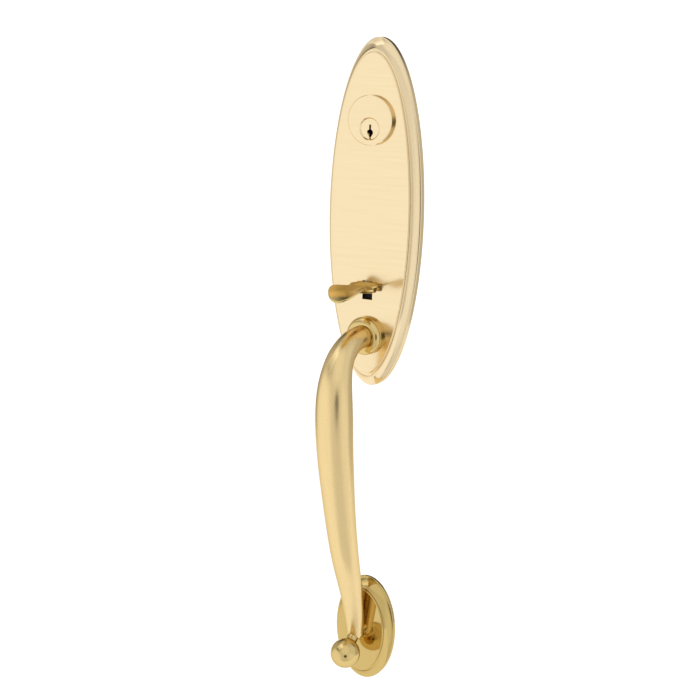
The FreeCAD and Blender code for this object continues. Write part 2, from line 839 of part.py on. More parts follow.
def latch_cam():
    """Hub on the spindle with an arm whose foot rests over the thumbpiece's finger."""
    depth = cam_disc_rear_y - cam_front_y
    front = V(0, cam_front_y, latch_z)
    hub = Part.makeCylinder(cam_hub_radius, depth, front, Y_AXIS)
    carrier_rear_y = carrier_front_y + carrier_thickness
    journal_rear = carrier_rear_y + 2 * running_gap + cam_ring_thickness + cam_journal_end
    journal = Part.makeCylinder(cam_journal_radius, journal_rear - cam_front_y, front, Y_AXIS)
    thrust_y = carrier_front_y - running_gap - cam_thrust_width
    thrust = Part.makeCylinder(cam_ring_radius, cam_thrust_width, V(0, thrust_y, latch_z), Y_AXIS)
    foot_centre = V(-cam_arm_reach, cam_front_y, latch_z + cam_arm_rise)
    foot = Part.makeCylinder(cam_foot_radius, depth, foot_centre, Y_AXIS)
    length = math.hypot(cam_arm_reach, cam_arm_rise)
    arm_corner = V(0, cam_front_y, latch_z - cam_arm_half_width)
    arm = Part.makeBox(length, depth, 2 * cam_arm_half_width, arm_corner)
    tilt = math.degrees(math.atan2(cam_arm_rise, -cam_arm_reach))
    arm.rotate(front, Y_AXIS, -tilt)
    cam = fused([hub, journal, thrust, arm, foot])
    half = spindle_size / 2 + running_gap
    bore = block(-half, half, cam_front_y - 1, journal_rear + 1, latch_z - half, latch_z + half)
    cam = cam.cut(bore)
    groove_start = carrier_front_y + carrier_thickness + running_gap
    groove_end = groove_start + cam_ring_thickness + running_gap
    groove_width = groove_end - groove_start
    groove_centre = V(0, groove_start, latch_z)
    groove = Part.makeCylinder(cam_journal_radius + 1, groove_width, groove_centre, Y_AXIS)
    core = Part.makeCylinder(cam_journal_radius - cam_groove_depth, groove_width, groove_centre, Y_AXIS)
    return cam.cut(groove.cut(core))


def latch_spindle():
    half = spindle_size / 2
    return block(-half, half, cam_front_y, spindle_rear_y, latch_z - half, latch_z + half)


def cam_ring():
    """Open retaining ring behind the carrier plate."""
    start = carrier_front_y + carrier_thickness + running_gap
    core = cam_journal_radius - cam_groove_depth
    ring = Part.makeCylinder(cam_ring_radius, cam_ring_thickness, V(0, start, latch_z), Y_AXIS)
    hole = Part.makeCylinder(core, cam_ring_thickness, V(0, start, latch_z), Y_AXIS)
    mouth = block(-core * 0.8, core * 0.8, start - 1, start + 2, latch_z - cam_ring_radius - 1, latch_z)
    return ring.cut(hole).cut(mouth)


def cam_carrier():
    """Steel plate across the two posts, with the cam's bearing hole."""
    rear = carrier_front_y + carrier_thickness
    plate = block(-carrier_half_width, carrier_half_width, carrier_front_y, rear,
                  latch_z - carrier_half_height, latch_z + carrier_half_height)
    upright = [edge for edge in plate.Edges if abs(edge.tangentAt(0).y) > 0.99]
    plate = plate.makeFillet(4.0, upright)
    plate = plate.cut(rod(cam_journal_radius + running_gap, 1 - carrier_front_y, -rear - 1, z=latch_z))
    for x in (-post_spacing / 2, post_spacing / 2):
        plate = plate.cut(rod(post_nose_radius + slip_gap, 1 - carrier_front_y, -rear - 1, x, latch_z))
    return plate


def mounting_posts():
    """Two turned posts: a stud in the plate, a shoulder under the carrier, a bolt thread at the rear."""
    posts = []
    rear = carrier_front_y + post_nose_length
    for x in (-post_spacing / 2, post_spacing / 2):
        stud = rod(post_stud_radius, plate_inside + post_stud_length, plate_inside, x, latch_z)
        body = rod(post_radius, plate_inside, -carrier_front_y, x, latch_z)
        nose = rod(post_nose_radius, -carrier_front_y, -rear, x, latch_z)
        thread = rod(post_bolt_radius, post_bolt_depth - rear, -rear - 1, x, latch_z)
        posts.append(fused([stud, body, nose]).cut(thread))
    return Part.makeCompound(posts)


def hexagon(across_flats, thickness, y, x, z):
    corner = across_flats / math.sqrt(3)
    points = []
    for i in range(7):
        turn = math.radians(60 * i)
        points.append(V(x + corner * math.cos(turn), y, z + corner * math.sin(turn)))
    return Part.Face(Part.makePolygon(points)).extrude(V(0, thickness, 0))


def post_nuts():
    nuts = []
    front = carrier_front_y + carrier_thickness
    for x in (-post_spacing / 2, post_spacing / 2):
        nut = hexagon(nut_across_flats, nut_thickness, front, x, latch_z)
        bore = rod(post_nose_radius + thread_gap, 1 - front, -front - nut_thickness - 1, x, latch_z)
        nuts.append(nut.cut(bore))
    return Part.makeCompound(nuts)


def grip_collar():
    """Stepped round collar between the plate's face and the grip's neck."""
    bore = grip_spigot_radius + slip_gap
    base = plate_depth
    step = base + collar_base
    ring_foot = step + collar_groove
    front = base + collar_height
    outer = collar_radius - collar_groove
    points = [
        (bore, base),
        (collar_radius, base),
        (collar_radius, step - 0.3),
        (collar_radius - 0.3, step),
        (outer - 0.3, step),
        (outer - 0.3, ring_foot),
        (outer, ring_foot + 0.4),
    ]
    steps = 10
    inner = bore + 0.2
    for i in range(1, steps + 1):
        turn = math.pi / 2 * i / steps
        radius = inner + (outer - inner) * math.cos(turn)
        points.append((radius, ring_foot + 0.4 + (front - ring_foot - 0.4) * math.sin(turn)))
    points.append((bore, front - 0.2))
    return revolved(points, grip_post_z)


def grip_end():
    """Centre of the grip's rounded lower end, level with its foot."""
    return V(0, -grip_end_out, foot_z)


def grip():
    """Swept grip: oval sections square to a curved centre line in the plane X = 0."""
    drop = foot_z - grip_post_z
    centres = [V(0, -out, grip_post_z + share * drop) for out, share, width, thickness in grip_sections]
    sizes = [(width, thickness) for out, share, width, thickness in grip_sections]
    last = 2 * (grip_end_radius - grip_end_step)
    centres.append(grip_end())
    sizes.append((last, last))
    wires = []
    for i, centre in enumerate(centres):
        before = centres[max(i - 1, 0)]
        after = centres[min(i + 1, len(centres) - 1)]
        along = (after - before).normalize() if i else V(0, -1, 0)
        normal = X_AXIS.cross(along).normalize()
        width, thickness = sizes[i]
        wires.append(oval_section(centre, X_AXIS, normal, width / 2, thickness / 2))
    body = Part.makeLoft(wires, True, False)
    spigot = rod(grip_spigot_radius, grip_sections[0][0], plate_depth, z=grip_post_z)
    end = Part.makeSphere(grip_end_radius, grip_end())
    foot = rod(grip_foot_radius, grip_end_out, rose_depth, z=foot_z)
    solid = fused([body, spigot, end, foot])
    axis = ball_axis()
    seat = Part.makeCylinder(2 * grip_end_radius, ball_radius, ball_seat(), axis)
    solid = solid.cut(seat)
    stud_depth = ball_stud_length + 0.5
    stud_hole = Part.makeCylinder(ball_stud_radius + thread_gap, stud_depth, ball_seat(), axis * -1)
    bolt_end = plate_depth + grip_bolt_reach + 1
    bolt_hole = rod(grip_bolt_radius + thread_gap, bolt_end, 0, z=grip_post_z)
    post_end = rose_depth + lower_post_stud_reach + 0.3
    post_hole = rod(lower_post_stud_radius + thread_gap, post_end, 0, z=foot_z)
    return solid.cut(stud_hole).cut(bolt_hole).cut(post_hole)


def ball_centre():
    return grip_end() + V(0, -ball_forward, -ball_drop)


def ball_axis():
    """Direction in which the finial leaves the grip's rounded end."""
    return (ball_centre() - grip_end()).normalize()


def ball_seat():
    """Centre of the flat on the grip's end that carries the finial's neck."""
    return grip_end() + ball_axis() * ball_seat_reach


def ball_finial():
    """Turned ball with a short neck and a threaded stud."""
    axis = ball_axis()
    ball = Part.makeSphere(ball_radius, ball_centre())
    neck_length = (ball_centre() - ball_seat()).Length - ball_radius / 2
    neck = Part.makeCylinder(ball_neck_radius, neck_length, ball_seat(), axis)
    stud = Part.makeCylinder(ball_stud_radius, ball_stud_length, ball_seat(), axis * -1)
    return fused([ball, neck, stud])


def grip_bolt():
    seat = plate_inside - washer_thickness
    shank = rod(grip_bolt_radius, plate_depth + grip_bolt_reach, seat, z=grip_post_z)
    head = rod(grip_bolt_head_radius, seat, seat - grip_bolt_head_height, z=grip_post_z)
    bolt = fused([shank, head])
    rear = grip_bolt_head_height - seat
    socket = hexagon(hex_key, hex_key_depth, rear - hex_key_depth, 0, grip_post_z)
    return bolt.cut(socket)


def grip_washer():
    washer = rod(washer_radius, plate_inside, plate_inside - washer_thickness, z=grip_post_z)
    return washer.cut(rod(grip_bolt_radius + slip_gap, plate_inside + 1, 0, z=grip_post_z))


def lower_rose():
    rose = moulded_oval(
        rose_half_width, rose_half_height, rose_edge_side, rose_edge_tip, rose_z, rose_bands()
    )
    face_side = rose_edge_side + rose_face_thickness
    face_tip = rose_edge_tip + rose_wall_tip
    hollow = oval_hollow(
        rose_half_width, rose_half_height, rose_wall_side, rose_wall_tip,
        face_side, face_tip, rose_rim_height, rose_inside, rose_z,
    )
    return rose.cut(hollow).cut(rod(lower_post_radius + slip_gap, rose_depth + 1, 0, z=foot_z))


def lower_post():
    """Post through the rose into the grip's foot, with a bolt thread at its rear."""
    front = rose_depth
    post = rod(lower_post_radius, front, -lower_post_rear_y, z=foot_z)
    flange = rod(lower_post_flange_radius, rose_inside, rose_inside - lower_post_flange_thickness, z=foot_z)
    stud = rod(lower_post_stud_radius, front + lower_post_stud_reach, front, z=foot_z)
    thread = rod(lower_bolt_radius, lower_bolt_depth - lower_post_rear_y, -lower_post_rear_y - 1, z=foot_z)
    return fused([post, flange, stud]).cut(thread)


NODES = {
    "escutcheon_plate": escutcheon_plate,
    "cylinder_housing": cylinder_housing,
    "cylinder_ring_nut": cylinder_ring_nut,
    "cylinder_plug": cylinder_plug,
    "key_pins": key_pins,
    "driver_pins": driver_pins,
    "pin_springs": pin_springs,
    "spring_cover": spring_cover,
    "plug_end_cap": plug_end_cap,
    "tailpiece": tailpiece,
    "thumbpiece": thumbpiece,
    "lift_lever": lift_lever,
    "thumb_bracket": thumb_bracket,
    "bracket_screws": bracket_screws,
    "thumb_pivot_pin": thumb_pivot_pin,
    "pivot_clips": pivot_clips,
    "thumb_return_spring": thumb_return_spring,
    "latch_cam": latch_cam,
    "latch_spindle": latch_spindle,
    "cam_ring": cam_ring,
    "cam_carrier": cam_carrier,
    "mounting_posts": mounting_posts,
    "post_nuts": post_nuts,
    "grip_collar": grip_collar,
    "grip": grip,
    "grip_bolt": grip_bolt,
    "grip_washer": grip_washer,
    "ball_finial": ball_finial,
    "lower_rose": lower_rose,
    "lower_post": lower_post,
}

os.makedirs("parts", exist_ok=True)
for name, make in NODES.items():
    shape = make()
    shape.exportStep("parts/" + name + ".step")
    print(name, len(shape.Solids), "solids", round(shape.Volume, 1), "mm3", shape.isValid())
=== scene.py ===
import json
import math
from collections import namedtuple

import bmesh
import bpy
from mathutils import Matrix, Vector


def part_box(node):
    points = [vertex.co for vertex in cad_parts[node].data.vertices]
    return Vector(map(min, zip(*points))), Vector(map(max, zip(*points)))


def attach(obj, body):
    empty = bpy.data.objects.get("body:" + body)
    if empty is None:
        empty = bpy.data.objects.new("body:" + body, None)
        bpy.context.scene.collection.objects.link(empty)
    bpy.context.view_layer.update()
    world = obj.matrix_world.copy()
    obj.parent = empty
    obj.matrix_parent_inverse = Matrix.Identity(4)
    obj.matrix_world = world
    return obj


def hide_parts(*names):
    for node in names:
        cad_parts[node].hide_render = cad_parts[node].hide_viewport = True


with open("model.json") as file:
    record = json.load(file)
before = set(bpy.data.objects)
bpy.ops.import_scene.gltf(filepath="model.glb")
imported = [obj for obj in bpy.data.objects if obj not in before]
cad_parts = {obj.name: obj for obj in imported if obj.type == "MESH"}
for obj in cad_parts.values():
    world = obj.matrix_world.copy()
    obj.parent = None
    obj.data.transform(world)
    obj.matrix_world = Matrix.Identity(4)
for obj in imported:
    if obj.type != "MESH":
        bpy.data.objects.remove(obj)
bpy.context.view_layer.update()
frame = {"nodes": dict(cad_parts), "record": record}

MM = 0.001
SIDEWAYS = Vector((1, 0, 0))
INWARD = Vector((0, 1, 0))
OUTWARD = Vector((0, -1, 0))
UPWARD = Vector((0, 0, 1))

# Sizes are in millimetres, and "out" is the distance in front of the door
Extent = namedtuple("Extent", "half_width half_height z front")


def extent(node):
    """How far a CAD node reaches, to a tenth, because its mesh is faceted."""
    low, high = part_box(node)
    reach = (high.x, (high.z - low.z) / 2, (high.z + low.z) / 2, -low.y)
    return Extent(*(round(value / MM, 1) for value in reach))


PLATE = extent("escutcheon_plate")
ROSE = extent("lower_rose")
COLLAR = extent("grip_collar")
CYLINDER = extent("cylinder_housing")
PIVOT = extent("thumb_pivot_pin")
BALL = extent("ball_finial")

SLIP_GAP = 0.15
CYLINDER_BODY_RADIUS = 16.5
GRIP_BOLT_RADIUS = 4.0
LOWER_POST_RADIUS = 5.0
SLOT_WIDTH = 9.0
SLOT_ABOVE = 4.4
SLOT_BELOW = 11.0

# A cutter starts behind the face that it cuts, and ends in front of it
CUTTER_BACK = 5.0
CUTTER_MARGIN = 1.0

# The radius that stands for a point on a turned piece's axis
ON_AXIS = 0.01


def point(x, out, z):
    return Vector((x * MM, -out * MM, z * MM))


# Curves

def cove(start, end, steps):
    """A hollow quarter: it leaves level and arrives upright."""
    points = []
    for i in range(steps + 1):
        turn = math.pi / 2 * i / steps
        points.append((start[0] + (end[0] - start[0]) * math.sin(turn),
                       start[1] + (end[1] - start[1]) * (1 - math.cos(turn))))
    return points


def shallow(start, end, hollow, steps):
    """Between a straight slope, where hollow is 0, and a full hollow quarter, where it is 1."""
    points = []
    for i, (x, y) in enumerate(cove(start, end, steps)):
        share = i / steps
        points.append((hollow * x + (1 - hollow) * (start[0] + (end[0] - start[0]) * share),
                       hollow * y + (1 - hollow) * (start[1] + (end[1] - start[1]) * share)))
    return points


def roundover(start, end, steps=8):
    """A full quarter: it leaves upright and arrives level."""
    points = []
    for i in range(steps + 1):
        turn = math.pi / 2 * i / steps
        points.append((start[0] + (end[0] - start[0]) * (1 - math.cos(turn)),
                       start[1] + (end[1] - start[1]) * math.sin(turn)))
    return points


def spline(values, places, where):
    """A natural cubic through the values at the places, read where it is asked for."""
    count = len(values)
    gaps = [places[i + 1] - places[i] for i in range(count - 1)]
    lower = [0.0] * count
    middle = [1.0] * count
    upper = [0.0] * count
    wanted = [0.0] * count
    for i in range(1, count - 1):
        lower[i] = gaps[i - 1]
        middle[i] = 2 * (gaps[i - 1] + gaps[i])
        upper[i] = gaps[i]
        wanted[i] = 6 * ((values[i + 1] - values[i]) / gaps[i] - (values[i] - values[i - 1]) / gaps[i - 1])
    for i in range(1, count):
        ratio = lower[i] / middle[i - 1]
        middle[i] -= ratio * upper[i - 1]
        wanted[i] -= ratio * wanted[i - 1]
    bend = [0.0] * count
    bend[-1] = wanted[-1] / middle[-1]
    for i in range(count - 2, -1, -1):
        bend[i] = (wanted[i] - upper[i] * bend[i + 1]) / middle[i]
    read = []
    span = 0
    for place in where:
        while span < count - 2 and place > places[span + 1]:
            span += 1
        before = (places[span + 1] - place) / gaps[span]
        after = (place - places[span]) / gaps[span]
        pull = (before ** 3 - before) * bend[span] + (after ** 3 - after) * bend[span + 1]
        read.append(before * values[span] + after * values[span + 1] + pull * gaps[span] ** 2 / 6)
    return read


# Meshes

def new_object(name, verts, faces):
    mesh = bpy.data.meshes.new(name)
    mesh.from_pydata([tuple(v) for v in verts], [], faces)
    mesh.validate()
    obj = bpy.data.objects.new(name, mesh)
    bpy.context.scene.collection.objects.link(obj)
    surface = bmesh.new()
    surface.from_mesh(mesh)
    bmesh.ops.recalc_face_normals(surface, faces=surface.faces)
    surface.to_mesh(mesh)
    surface.free()
    return obj


def rings_object(name, rings, closed=False):
    """Quads between rings of equal length, with flat ends or a closed loop of rings."""
    count = len(rings[0])
    verts = [v for ring in rings for v in ring]
    faces = []
    last = len(rings) - 1
    pairs = [(i, i + 1) for i in range(last)]
    if closed:
        pairs.append((last, 0))
    for low, high in pairs:
        for here in range(count):
            there = (here + 1) % count
            faces.append((low * count + here, low * count + there, high * count + there, high * count + here))
    if not closed:
        faces.append(tuple(range(count - 1, -1, -1)))
        faces.append(tuple(range(last * count, last * count + count)))
    return new_object(name, verts, faces)


def oval_ring(half_width, half_height, out, z, count):
    ring = []
    for i in range(count):
        turn = 2 * math.pi * i / count
        ring.append(point(half_width * math.sin(turn), out, z + half_height * math.cos(turn)))
    return ring


def turned(name, profile, centre, axis, count):
    """(radius, distance along the axis) points spun about an axis through the centre."""
    side = axis.orthogonal().normalized()
    other = axis.cross(side)
    rings = []
    for radius, along in profile:
        ring = []
        for i in range(count):
            turn = 2 * math.pi * i / count
            spoke = side * math.cos(turn) + other * math.sin(turn)
            ring.append(centre + axis * (along * MM) + spoke * (radius * MM))
        rings.append(ring)
    return rings_object(name, rings)


def rod(name, radius, front, back, z):
    """A round bar in the middle of the piece, square to the door."""
    return turned(name, [(radius, 0), (radius, front - back)], point(0, front, z), INWARD, count=64)


def block(name, half_width, front, back, bottom, top):
    """A block in the middle of the piece, square to the door."""
    corners = [point(x, out, z) for x in (-half_width, half_width) for out in (front, back)
               for z in (bottom, top)]
    faces = [(0, 1, 3, 2), (4, 6, 7, 5), (0, 4, 5, 1), (2, 3, 7, 6), (0, 2, 6, 4), (1, 5, 7, 3)]
    return new_object(name, corners, faces)


def baked(obj):
    """Replaces the object's mesh by what its modifiers make of it."""
    depsgraph = bpy.context.evaluated_depsgraph_get()
    mesh = bpy.data.meshes.new_from_object(obj.evaluated_get(depsgraph))
    obj.modifiers.clear()
    obj.data = mesh
    return obj


def combined(obj, tools, operation):
    """Cuts each tool from the object, or joins it on, and removes the tools."""
    for tool in tools:
        step = obj.modifiers.new("step", "BOOLEAN")
        step.operation = operation
        step.solver = "EXACT"
        step.object = tool
    baked(obj)
    for tool in tools:
        bpy.data.objects.remove(tool)
    return obj


def shade_smooth(obj):
    for face in obj.data.polygons:
        face.use_smooth = True


def smooth(obj, degrees):
    """Smooth shading, with the edges sharp that turn by more than the angle."""
    shade_smooth(obj)
    obj.data.set_sharp_from_angle(angle=math.radians(degrees))


def softened(obj, width, degrees=32):
    """A small bevel on the edges that turn by more than the angle."""
    edge = obj.modifiers.new("edges", "BEVEL")
    edge.width = width * MM
    edge.segments = 2
    edge.limit_method = "ANGLE"
    edge.angle_limit = math.radians(degrees)
    return baked(obj)


def weighted(obj):
    """Gives large faces their own normals, so that they stay flat beside soft edges."""
    step = obj.modifiers.new("normals", "WEIGHTED_NORMAL")
    step.weight = 100
    step.keep_sharp = True
    return baked(obj)


# Plate and rose

def moulding(rim, depth, wall_drop, lip_rise, bead_foot_drop, bead_top_drop, step_drop,
             lip, bead_foot, bead_top, crease, step):
    """The outer profile from the door to the flat face, as (share of the edge's width, out) points.

    The wall ends below the rim and the lip above it. The bead and the step lie below the face. The last
    five values say where each of them is, as shares of the edge's width.
    """
    wall_end = (0.0, rim - wall_drop)
    lip_top = (lip, rim + lip_rise)
    bead_start = (bead_foot, depth - bead_foot_drop)
    bead_end = (bead_top, depth - bead_top_drop)
    step_top = (step, depth - step_drop)
    profile = [(0.0, 0.0), wall_end]
    profile += roundover(wall_end, lip_top)[1:]
    profile += shallow(lip_top, bead_start, hollow=0.5, steps=14)[1:]
    profile += roundover(bead_start, bead_end)[1:]
    profile += [(crease, depth - bead_top_drop), step_top]
    profile += roundover(step_top, (1.0, depth))[1:]
    return profile


def hollow_profile(rim, depth, edge_side, edge_tip, wall_side, wall_tip, thickness):
    """The inside from behind the door plane to the back of the face, as (side, tip, out) points."""
    return [
        (wall_side, wall_tip, -CUTTER_MARGIN),
        (wall_side, wall_tip, rim),
        (edge_side + thickness, edge_tip + wall_tip, depth - thickness),
    ]


def casting(name, size, edge_side, edge_tip, outer, inner, count):
    """A hollow oval casting, whose edge is edge_side wide at the sides and edge_tip at the tips."""
    def ring(side, tip, out):
        return oval_ring(size.half_width - side, size.half_height - tip, out, size.z, count)

    solid = rings_object(name, [ring(share * edge_side, share * edge_tip, out) for share, out in outer])
    hollow = rings_object(name + " hollow", [ring(side, tip, out) for side, tip, out in inner])
    return combined(solid, [hollow], "DIFFERENCE")


def finished(piece, edge):
    softened(piece, edge)
    smooth(piece, degrees=40)
    return weighted(piece)


def bore(radius, front, z):
    return rod("cut", radius + SLIP_GAP, front + CUTTER_MARGIN, CUTTER_BACK, z)


def escutcheon():
    rim = 4.6
    depth = PLATE.front
    edge_side = 7.0
    edge_tip = 12.6
    outer = moulding(
        rim, depth,
        wall_drop=0.3, lip_rise=0.5, bead_foot_drop=2.3, bead_top_drop=1.6, step_drop=0.8,
        lip=0.1, bead_foot=0.7, bead_top=0.8, crease=0.87, step=0.88,
    )
    inner = hollow_profile(rim, depth, edge_side, edge_tip, wall_side=4.2, wall_tip=6.5, thickness=3.5)
    plate = casting("escutcheon", PLATE, edge_side, edge_tip, outer, inner, count=288)
    slot = block("cut", SLOT_WIDTH / 2, depth + CUTTER_MARGIN, CUTTER_BACK,
                 PIVOT.z - SLOT_BELOW, PIVOT.z + SLOT_ABOVE)
    cuts = [
        bore(CYLINDER_BODY_RADIUS, depth, CYLINDER.z),
        slot,
        bore(GRIP_BOLT_RADIUS, depth, COLLAR.z),
    ]
    combined(plate, cuts, "DIFFERENCE")
    return finished(plate, edge=0.22)


def rose():
    rim = 2.0
    depth = ROSE.front
    edge_side = 6.6
    edge_tip = 10.5
    outer = moulding(
        rim, depth,
        wall_drop=0.0, lip_rise=0.8, bead_foot_drop=2.3, bead_top_drop=1.6, step_drop=0.7,
        lip=0.12, bead_foot=0.76, bead_top=0.86, crease=0.88, step=0.89,
    )
    inner = hollow_profile(rim, depth, edge_side, edge_tip, wall_side=3.6, wall_tip=4.6, thickness=3.0)
    piece = casting("rose", ROSE, edge_side, edge_tip, outer, inner, count=192)
    combined(piece, [bore(LOWER_POST_RADIUS, depth, ROSE.z)], "DIFFERENCE")
    return finished(piece, edge=0.2)


# Grip, collar and ball

# Distance in front of the door, share of the drop from post to foot, width across, thickness
GRIP_SECTIONS = (
    (22.5, 0.000, 18.6, 18.6),
    (31.0, 0.003, 18.8, 18.6),
    (40.0, 0.012, 19.6, 19.0),
    (48.0, 0.029, 20.8, 19.6),
    (54.6, 0.052, 22.4, 20.4),
    (59.2, 0.083, 24.6, 21.6),
    (62.0, 0.121, 27.2, 23.4),
    (63.2, 0.173, 29.8, 25.3),
    (62.7, 0.244, 31.2, 26.4),
    (60.9, 0.324, 30.6, 25.9),
    (57.5, 0.412, 29.3, 24.8),
    (52.4, 0.515, 27.1, 23.0),
    (46.2, 0.623, 25.1, 21.3),
    (38.4, 0.732, 22.9, 19.4),
    (30.4, 0.820, 20.2, 17.2),
    (24.0, 0.900, 17.4, 15.2),
    (20.4, 0.965, 15.0, 13.8),
    (19.2, 1.000, 13.0, 13.0),
)
GRIP_STEPS = 190
GRIP_SIDES = 72
GRIP_FOOT_RADIUS = 5.8
SPIGOT_RADIUS = 9.0
SPIGOT_FRONT = 24.0

END_OUT = GRIP_SECTIONS[-1][0]
END_RADIUS = 6.7
END = point(0, END_OUT, ROSE.z)
BALL_FORWARD = 16.0
BALL_DROP = 13.0
BALL_CENTRE = point(0, END_OUT + BALL_FORWARD, ROSE.z - BALL_DROP)
BALL_AXIS = (BALL_CENTRE - END).normalized()
BALL_SEAT = 4.6


def collar():
    bore_radius = 9.15
    band = 3.6
    groove = 0.45
    chamfer = 0.3
    dome_foot = 0.4
    lip = 0.2
    step = PLATE.front + band
    foot = step + groove
    radius = COLLAR.half_width
    outer = radius - groove
    inner = bore_radius + lip
    profile = [
        (bore_radius, PLATE.front),
        (radius, PLATE.front),
        (radius, step - chamfer),
        (radius - chamfer, step),
        (outer - chamfer, step),
        (outer - chamfer, foot),
        (outer, foot + dome_foot),
    ]
    steps = 20
    for i in range(1, steps + 1):
        turn = math.pi / 2 * i / steps
        profile.append((inner + (outer - inner) * math.cos(turn),
                        foot + dome_foot + (COLLAR.front - foot - dome_foot) * math.sin(turn)))
    profile.append((bore_radius, COLLAR.front - lip))
    rings = [oval_ring(radius, radius, out, COLLAR.z, count=128) for radius, out in profile]
    piece = rings_object("collar", rings, closed=True)
    smooth(piece, degrees=35)
    return piece


def grip_rings():
    """Ovals square to a smooth line through the sections, from the collar to the foot."""
    outs, drops, widths, depths = zip(*GRIP_SECTIONS)
    heights = [COLLAR.z + drop * (ROSE.z - COLLAR.z) for drop in drops]
    places = [0.0]
    for i in range(1, len(outs)):
        places.append(places[-1] + math.hypot(outs[i] - outs[i - 1], heights[i] - heights[i - 1]))
    where = [places[-1] * i / GRIP_STEPS for i in range(GRIP_STEPS + 1)]
    out, height, width, depth = (spline(values, places, where) for values in (outs, heights, widths, depths))
    rings = []
    for i in range(GRIP_STEPS + 1):
        before = max(i - 1, 0)
        after = min(i + 1, GRIP_STEPS)
        along = Vector((0, -(out[after] - out[before]), height[after] - height[before])).normalized()
        if i == 0:
            along = OUTWARD
        normal = SIDEWAYS.cross(along).normalized()
        centre = point(0, out[i], height[i])
        ring = []
        for j in range(GRIP_SIDES):
            turn = 2 * math.pi * j / GRIP_SIDES
            ring.append(centre + SIDEWAYS * (width[i] / 2 * math.cos(turn) * MM)
                        + normal * (depth[i] / 2 * math.sin(turn) * MM))
        rings.append(ring)
    return rings


def grip_end():
    """The ball-shaped end of the grip, which carries the finial."""
    profile = [(ON_AXIS, -END_RADIUS)]
    steps = 33
    for i in range(1, steps):
        turn = -math.pi / 2 + math.pi * i / steps
        profile.append((END_RADIUS * math.cos(turn), END_RADIUS * math.sin(turn)))
    profile.append((ON_AXIS, END_RADIUS))
    return turned("join", profile, END, BALL_AXIS, count=72)


def grip():
    body = rings_object("grip", grip_rings())
    additions = [
        grip_end(),
        rod("join", GRIP_FOOT_RADIUS, END_OUT, ROSE.front, ROSE.z),
        rod("join", SPIGOT_RADIUS, SPIGOT_FRONT, PLATE.front, COLLAR.z),
    ]
    combined(body, additions, "UNION")
    cutter_radius = 14
    cutter_length = 12
    seat = turned("cut", [(cutter_radius, BALL_SEAT), (cutter_radius, BALL_SEAT + cutter_length)],
                  END, BALL_AXIS, count=48)
    combined(body, [seat], "DIFFERENCE")
    smooth(body, degrees=35)
    return body


def ball():
    radius = BALL.half_width
    neck = 4.6
    chamfer = 0.3
    fillet = 0.9
    swell = 0.15
    length = (BALL_CENTRE - END).length / MM - BALL_SEAT
    meet = length - math.sqrt(radius ** 2 - neck ** 2)
    profile = [
        (ON_AXIS, 0),
        (neck - chamfer, 0),
        (neck, chamfer),
        (neck, meet - fillet),
        (neck + swell, meet - fillet / 3),
    ]
    start = math.asin((neck + fillet) / radius)
    steps = 48
    for i in range(steps):
        turn = start + (math.pi - start) * i / steps
        profile.append((radius * math.sin(turn), length - radius * math.cos(turn)))
    profile.append((ON_AXIS, length + radius))
    piece = turned("ball", profile, END + BALL_AXIS * (BALL_SEAT * MM), BALL_AXIS, count=96)
    smooth(piece, degrees=40)
    return piece


# Thumb lever

def thumbpiece():
    """The CAD thumbpiece with the soft edges of a casting."""
    source = frame["nodes"]["thumbpiece"]
    obj = bpy.data.objects.new("thumb_lever", source.data.copy())
    bpy.context.scene.collection.objects.link(obj)
    weld = obj.modifiers.new("weld", "WELD")
    weld.merge_threshold = 0.01 * MM
    fine = obj.modifiers.new("fine", "REMESH")
    fine.mode = "VOXEL"
    fine.voxel_size = 0.24 * MM
    soft = obj.modifiers.new("soft", "SMOOTH")
    soft.factor = 0.5
    soft.iterations = 7
    baked(obj)
    shade_smooth(obj)
    return obj


# Materials

BRUSHING_SCALE = 2600.0
CLOUDING_SCALE = 420.0
GRAIN_SCALE = 500.0
BROADEST_STRETCH = 0.06
NOISE_LOW = 0.3
NOISE_HIGH = 0.7
BUMP_DISTANCE = 0.01 * MM
LACQUER_TINT = (0.68, 0.58, 0.39)


def material(name, base, roughness):
    made = bpy.data.materials.new(name)
    made.use_nodes = True
    shader = made.node_tree.nodes["Principled BSDF"]
    shader.inputs["Base Color"].default_value = (*base, 1)
    shader.inputs["Metallic"].default_value = 1.0
    shader.inputs["Roughness"].default_value = roughness
    return made, made.node_tree, shader


def textured(tree, stretch, scale, detail=3.0):
    """Noise in the object's own coordinates, drawn out along one axis."""
    place = tree.nodes.new("ShaderNodeTexCoord")
    mapping = tree.nodes.new("ShaderNodeMapping")
    mapping.inputs["Scale"].default_value = stretch
    noise = tree.nodes.new("ShaderNodeTexNoise")
    noise.inputs["Scale"].default_value = scale
    noise.inputs["Detail"].default_value = detail
    tree.links.new(place.outputs["Object"], mapping.inputs["Vector"])
    tree.links.new(mapping.outputs["Vector"], noise.inputs["Vector"])
    return noise.outputs["Fac"]


def roughened(tree, shader, source, low, high):
    spread = tree.nodes.new("ShaderNodeMapRange")
    spread.inputs["From Min"].default_value = NOISE_LOW
    spread.inputs["From Max"].default_value = NOISE_HIGH
    spread.inputs["To Min"].default_value = low
    spread.inputs["To Max"].default_value = high
    tree.links.new(source, spread.inputs["Value"])
    tree.links.new(spread.outputs["Result"], shader.inputs["Roughness"])


def bumped(tree, shader, source, strength):
    bump = tree.nodes.new("ShaderNodeBump")
    bump.inputs["Strength"].default_value = strength
    bump.inputs["Distance"].default_value = BUMP_DISTANCE
    tree.links.new(source, bump.inputs["Height"])
    tree.links.new(bump.outputs["Normal"], shader.inputs["Normal"])


